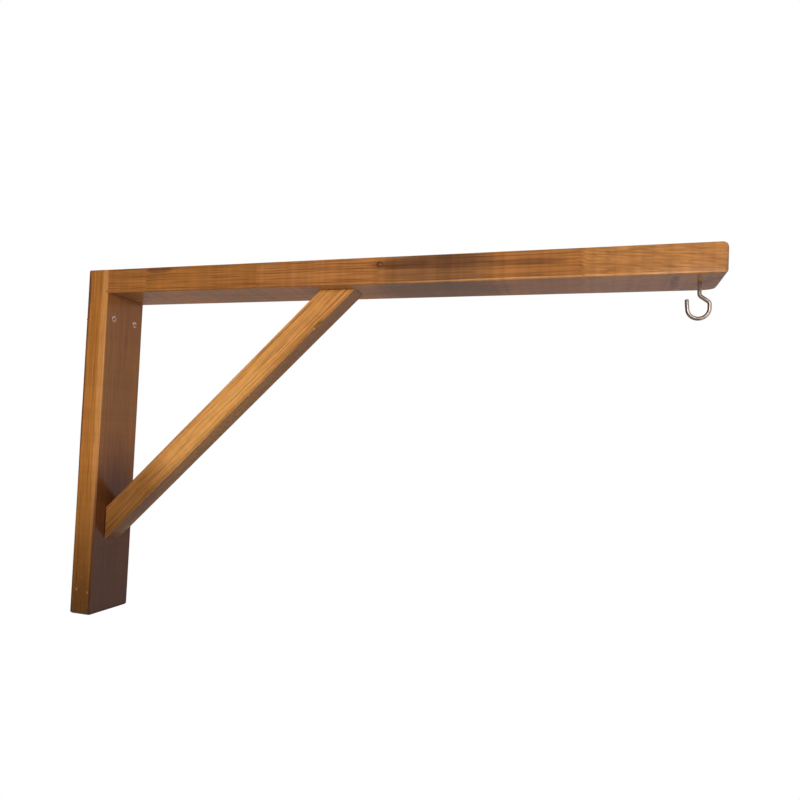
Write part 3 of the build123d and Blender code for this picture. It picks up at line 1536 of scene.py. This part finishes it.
@dataclass(frozen=True)
class Card:
    """A glowing card that only reflections show: its place and half size in metres, its turn in degrees.

    With two tints its colour goes from the first to the second between the two places of the grade, along X.
    """

    name: str
    place: Triple
    turn: Triple
    glow: float
    half: Pair = (3.0, 3.0)
    tints: tuple[Colour, ...] = ((1.0, 0.94, 0.93),)
    grade: Pair = (-0.3, 0.4)


@dataclass
class Studio:
    """A white room, in metres: lamps that light the bracket, and cards that varnish and metal mirror."""

    floor_place: Triple = (0.35, 0.02, -1.05)
    floor_reach: float = 0.8
    floor_plain: float = 0.3
    floor_tone: float = 0.86
    floor_glow: float = 0.55
    ambient: float = 0.08
    middle: Triple = (0.35, 0.0, 0.0)
    lamps: tuple[Lamp, ...] = (
        Lamp("key_lamp", (0.55, -1.6, -0.05), (1.2, 0.7), 26.0),
        Lamp("bounce_lamp", (-0.5, 0.9, -0.9), (0.9, 0.6), 14.0),
        Lamp("top_lamp", (0.3, 0.12, 1.6), (1.0, 0.4), 15.0),
        Lamp("side_lamp", (2.1, -0.45, 0.35), (1.0, 0.6), 3.0),
    )
    cards: tuple[Card, ...] = (
        Card(
            "back_card", (0.35, 1.6, 0.0), (90.0, 0.0, 0.0), 0.26,
            tints=((0.98, 0.885, 0.85), (1.06, 1.06, 1.21)),
        ),
        Card("low_card", (0.35, 0.2, -1.0), (0.0, 0.0, 0.0), 0.24),
        Card("right_card", (1.25, 0.2, 0.0), (0.0, 90.0, 0.0), 0.6),
        Card("left_card", (-1.6, 0.2, 0.0), (0.0, 90.0, 0.0), 0.06),
        Card("front_card", (0.0, -2.6, 0.0), (90.0, 0.0, 0.0), 0.1),
        Card("catch_card", (0.73, -0.14, 0.036), (90.0, 0.0, 0.0), 2.4, half=(0.055, 0.023)),
    )
    flag_place: Triple = (0.35, -0.4, -0.332)
    flag_half: Pair = (0.6, 0.1)
    flag_tone: float = 0.02
    eye: Triple = (0.61536, -0.71941, -0.15346)
    heading: float = 17.356
    pitch: float = 1.635
    roll: float = 2.611
    lens: float = 29.536
    sensor: float = 36.0
    shift: Pair = (0.02354, 0.03932)
    nearest: float = 0.01

    def build(self) -> None:
        """Set up the floor, the light and the camera."""
        bpy.context.scene.view_settings.view_transform = "Standard"
        self.make_world()
        self.make_floor()
        for card in self.cards:
            self.make_card(card)
        self.make_flag()
        for lamp in self.lamps:
            self.hang(lamp)
        self.make_camera()

    @staticmethod
    def seen_rays(bench: NodeBench) -> Socket:
        """1 for the rays that show the background: straight, mirrored or through glass.

        Args:
            bench: The tree.

        Returns:
            The socket that says so.
        """
        path = bench.add("ShaderNodeLightPath").outputs
        shown = bench.math("MAXIMUM", path["Is Camera Ray"], path["Is Glossy Ray"])
        return bench.math("MAXIMUM", shown, path["Is Transmission Ray"])

    def make_world(self) -> None:
        """Soft light all round, white where it is seen."""
        world = bpy.data.worlds.new("studio_air")
        world.use_nodes = True
        bench = NodeBench(world.node_tree)
        soft = bench.add("ShaderNodeBackground", {"Color": grey(1.0), "Strength": self.ambient})
        white = bench.add("ShaderNodeBackground", {"Color": grey(1.0), "Strength": 1.0})
        feeds = {0: self.seen_rays(bench), 1: soft.outputs[0], 2: white.outputs[0]}
        mixed = bench.add("ShaderNodeMixShader", feeds)
        bench.add("ShaderNodeOutputWorld", {"Surface": mixed.outputs[0]})
        bpy.context.scene.world = world

    def make_floor(self) -> None:
        """A pale floor that holds the shadow and fades out into the white."""
        material, bench = new_material("pale_floor")
        away = bench.vector("LENGTH", bench.vector("MULTIPLY", bench.place(), (1.0, 1.0, 0.0)))
        matt = bench.add("ShaderNodeBsdfDiffuse", {"Color": grey(self.floor_tone)})
        glow = bench.add("ShaderNodeEmission", {"Color": grey(1.0), "Strength": 1.0})
        shown = bench.times(self.seen_rays(bench), self.floor_glow)
        lit = bench.add("ShaderNodeMixShader", {0: shown, 1: matt.outputs[0], 2: glow.outputs[0]})
        clear = bench.add("ShaderNodeBsdfTransparent")
        fade = bench.ease(away, self.floor_reach * self.floor_plain, self.floor_reach)
        bench.surface("ShaderNodeMixShader", {0: fade, 1: lit.outputs[0], 2: clear.outputs[0]})
        self.panel("floor", (self.floor_reach, self.floor_reach), material).location = self.floor_place

    @staticmethod
    def panel(name: str, half: Pair, material: bpy.types.Material, *unseen: str) -> bpy.types.Object:
        """A flat oblong of the studio.

        Args:
            name: Its name.
            half: Half its width and half its height.
            material: What it is made of.
            *unseen: The kinds of rays that pass it by.

        Returns:
            The panel, which isn't part of the bracket.
        """
        mesh = bpy.data.meshes.new(name)
        wide, high = half
        corners = [(-wide, -high, 0), (wide, -high, 0), (wide, high, 0), (-wide, high, 0)]
        mesh.from_pydata(corners, [], [(0, 1, 2, 3)])
        mesh.materials.append(material)
        thing = new_object(name, mesh)
        for ray in unseen:
            setattr(thing, "visible_" + ray, False)
        return thing

    def make_card(self, card: Card) -> None:
        """Set up a card that is seen only as a reflection in varnish and metal.

        Args:
            card: The card.
        """
        material, bench = new_material(card.name)
        colour: Feed = (*card.tints[0], 1.0)
        if len(card.tints) > 1:
            colour = bench.blend(bench.ease(bench.split(bench.place())[0], *card.grade), *card.tints)
        bench.surface("ShaderNodeEmission", {"Color": colour, "Strength": card.glow})
        thing = self.panel(card.name, card.half, material, "camera", "diffuse", "shadow")
        thing.location = card.place
        thing.rotation_euler = [radians(angle) for angle in card.turn]

    def make_flag(self) -> None:
        """A dark card that shades the low end of the post from the key lamp."""
        material, bench = new_material("black_card")
        bench.surface("ShaderNodeBsdfDiffuse", {"Color": grey(self.flag_tone)})
        flag = self.panel("flag", self.flag_half, material, "camera", "diffuse", "glossy")
        flag.location = self.flag_place
        flag.rotation_euler = (radians(90), 0.0, 0.0)

    def hang(self, lamp: Lamp) -> None:
        """Hang a lamp so that it looks at the bracket, with its reflections left to the cards.

        Args:
            lamp: The lamp.
        """
        light = bpy.data.lights.new(lamp.name, "AREA")
        light.shape = "RECTANGLE"
        light.size, light.size_y = lamp.size
        light.energy = lamp.power
        thing = new_object(lamp.name, light)
        thing.location = lamp.place
        aim = Vector(self.middle) - Vector(lamp.place)
        thing.rotation_euler = aim.to_track_quat("-Z", "Y").to_euler()
        thing.visible_glossy = False

    def make_camera(self) -> None:
        """The camera at the photograph's angle."""
        camera = bpy.data.cameras.new("camera")
        camera.sensor_width = self.sensor
        camera.lens = self.lens
        camera.shift_x, camera.shift_y = self.shift
        camera.clip_start = self.nearest
        thing = new_object("camera", camera)
        turn = Matrix.Rotation(radians(self.heading), 4, "Z")
        turn @= Matrix.Rotation(radians(90 + self.pitch), 4, "X")
        turn @= Matrix.Rotation(radians(self.roll), 4, "Z")
        thing.matrix_world = Matrix.Translation(self.eye) @ turn
        bpy.context.scene.camera = thing


# Where the chip starts on the brace's edge, and the tones of marks in the wood, some of them painted
# highlights and painted shade
CHIP = Vector((309.8, -15.0, -13.8))
HEART = srgb(104, 64, 38)
KNOT = srgb(70, 38, 20)
KNOT_EYE = srgb(150, 94, 62)
DUSK = srgb(124, 84, 51)
RAW = srgb(226, 186, 146)
# Painted highlight along an eased edge
PAINTED_EDGE_HIGHLIGHT = srgb(212, 148, 84)
# Painted shade along the post's wall-side edge
WALL_EDGE_SHADE = srgb(96, 46, 24)
# Painted shade where the brace meets the post and the arm
CONTACT_SHADE = srgb(58, 32, 16)
# Painted shade on the low part of the post's front
LOW_FRONT_SHADE = srgb(108, 58, 30)
# Painted shade towards the brace's foot
LOW_BRACE_SHADE = srgb(136, 84, 38)
# Painted light on the upper part of the brace's side
PAINTED_BRACE_LIGHT = srgb(240, 174, 96)

# Finishes of this bracket's boards and metal
POST_WOOD = WoodFinish(
    name="post_wood",
    pale=srgb(190, 122, 55),
    deep=srgb(150, 92, 38),
    growth=srgb(108, 60, 24),
    pith=(60.0, -150.0),
    seed=2.0,
    line_gap=4.2,
    line_depth=0.28,
    fleck_depth=0.28,
    # Painted highlight along the post's eased edges
    edge_tone_and_highlight=(1.12, 1.12, 1.14),
    marks=(
        # Painted highlight along the post's near front edge
        Mark((25.5, -35.0, -70.0), (280.0, 5.0, 6.5), PAINTED_EDGE_HIGHLIGHT, 0.65, 0.3),
        # Painted shade along the post's wall-side edge
        Mark((1.0, -35.0, -40.0), (260.0, 5.0, 3.0), WALL_EDGE_SHADE, 0.75, 0.4),
        # Painted shade along the wall-side edge at the post's top, in the heartwood tone
        Mark((2.0, -35.0, 25.0), (40.0, 5.0, 4.0), HEART, 0.7, 0.6),
        Mark((28.5, -35.0, 32.0), (1.6, 2.0, 1.4), KNOT, 0.8, 0.4),
        Mark((8.0, -35.0, -346.0), (2.6, 1.6, 1.6), RAW, 0.9, 0.8),
        Mark((25.0, -35.0, -348.5), (1.8, 1.5, 1.3), RAW, 0.9, 0.8),
        Mark((15.0, -35.0, -331.0), (2.2, 1.4, 0.9), RAW, 0.45, 0.8),
        # Painted shade on the post's front, darker towards the bottom
        Mark((30.0, 0.0, -304.0), (178.0, 100.0, 3.6), LOW_FRONT_SHADE, 0.9, 0.3),
        # Painted shade beside the brace's foot on the post
        Mark((30.0, -15.8, -263.0), (25.0, 2.2, 2.0), CONTACT_SHADE, 0.7, 0.4),
    ),
)
ARM_WOOD = WoodFinish(
    name="arm_wood",
    pale=srgb(198, 135, 80),
    deep=srgb(154, 101, 56),
    growth=srgb(114, 70, 38),
    pith=(-30.0, -170.0),
    seed=5.0,
    line_gap=3.2,
    line_depth=0.75,
    fleck_depth=0.48,
    flecks_along=13.0,
    chatter=0.12,
    staves=(
        Stave(0.0, (0.79, 0.69, 0.5)),
        Stave(56.0, (0.76, 0.67, 0.46), 1.7),
        Stave(209.0, (0.88, 0.79, 0.63), 0.9),
        Stave(359.0, (0.85, 0.76, 0.59), 1.1, figure=0.85),
        Stave(576.0, (1.0, 0.98, 0.84), 2.1, 0.09, 0.65, seam=5.0),
    ),
    marks=(
        Mark((455.0, -35.0, 44.0), (76.0, 48.0, 36.0), DUSK, 0.78, 0.5),
        Mark((417.0, -35.0, 51.0), (48.0, 14.0, 7.0), HEART, 0.74, 0.4),
        Mark((466.0, -35.0, 51.5), (66.0, 14.0, 10.5), HEART, 0.72, 0.6),
        Mark((450.0, 0.0, 28.0), (105.0, 60.0, 10.0), HEART, 0.74, 0.7),
        Mark((550.0, -35.0, 48.0), (60.0, 14.0, 4.5), HEART, 0.55, 0.4),
        Mark((391.0, -35.0, 51.5), (5.0, 8.0, 4.6), KNOT, 0.75, 0.2),
        Mark((391.6, -35.0, 51.2), (2.8, 8.0, 2.4), KNOT_EYE, 0.7, 0.2),
        Mark((105.0, -35.0, 57.0), (25.0, 10.0, 6.5), HEART, 0.65),
        # Painted highlight along the arm's near low edge
        Mark((570.0, -35.0, 30.0), (250.0, 3.2, 3.2), PAINTED_EDGE_HIGHLIGHT, 0.7, 0.6),
        Mark((694.0, -12.0, 30.0), (5.0, 22.0, 5.0), HEART, 0.6, 0.9),
        Mark((696.0, 12.0, 30.0), (6.0, 20.0, 5.0), HEART, 0.5, 0.9),
        # Painted shade along the brace's head on the arm's underside, in these two marks
        Mark((333.0, -16.0, 30.0), (28.0, 5.5, 2.5), CONTACT_SHADE, 0.85, 0.3),
        Mark((355.4, -1.0, 30.0), (2.6, 15.5, 2.0), CONTACT_SHADE, 0.75, 0.3),
    ),
)
BRACE_WOOD = WoodFinish(
    name="brace_wood",
    pale=srgb(224, 158, 87),
    deep=srgb(174, 111, 52),
    growth=srgb(140, 84, 36),
    pith=(-80.0, -140.0),
    seed=9.0,
    line_gap=4.6,
    line_depth=0.62,
    fleck_depth=0.45,
    # Painted highlight along the brace's eased edges
    edge_tone_and_highlight=(1.15, 1.18, 1.25),
    marks=(
        # Painted shade on the brace's side, darker towards its foot
        Mark((50.0, -15.0, -245.0), (110.0, 40.0, 40.0), LOW_BRACE_SHADE, 0.65, 0.4),
        # Painted light on the upper part of the brace's side
        Mark((190.0, -15.0, -120.0), (130.0, 25.0, 40.0), PAINTED_BRACE_LIGHT, 0.45, 0.4),
        Mark((191.8, 0.0, -127.6), (320.0, 60.0, 6.0), HEART, 0.3, 0.0),
        Mark((CHIP.x - 2.0, CHIP.y, CHIP.z - 2.0), (4.0, 3.0, 2.0), RAW, 0.3, 0.4),
        # Painted shade inside the chip, in the heartwood tone
        Mark((CHIP.x + 4.0, CHIP.y, CHIP.z + 3.5), (8.0, 5.0, 4.0), HEART, 0.45, 0.4),
    ),
)
HOOK_STEEL = MetalFinish(
    name="plated_wire",
    bright=(0.68, 0.6, 0.52),
    dull=(0.33, 0.25, 0.2),
    roughness=(0.12, 0.26),
    # Painted shade on the wire's neck and thread under the arm
    shade_heights=(6.0, 15.0),
)
SCREW_STEEL = MetalFinish(
    name="screw_plating",
    bright=(1.0, 0.74, 0.6),
    dull=(0.46, 0.29, 0.2),
    roughness=(0.16, 0.3),
    wear=WEAR,
    seed=0.55,
)


def main() -> None:
    """Build the bracket piece by piece, then its studio."""
    logging.basicConfig(level=logging.INFO, format="%(name)s %(message)s")
    boards = BoardFrame()
    boards.build()
    ends = boards.foot_screw(), boards.head_screw()
    screws = (
        ("wall_screw_pair", "wall_screws", boards.wall_screws(), (FRONT, FRONT), 43.0, 4),
        ("arm_screw_pair", "arm_screws", boards.arm_screws(), (BACK, BACK), 70.0, 7),
        ("brace_screw_pair", "brace_screws", ends, (BACK, UP), 50.0, 9),
    )
    for name, node, heads, outward, length, seed in screws:
        ScrewSet(name, node, heads, outward, length, SCREW_STEEL, seed).build()
    WireHook("wire_hook", "screw_hook", boards.hook_seat(), HOOK_STEEL).build()
    Studio().build()


if __name__ == "__main__":
    main()
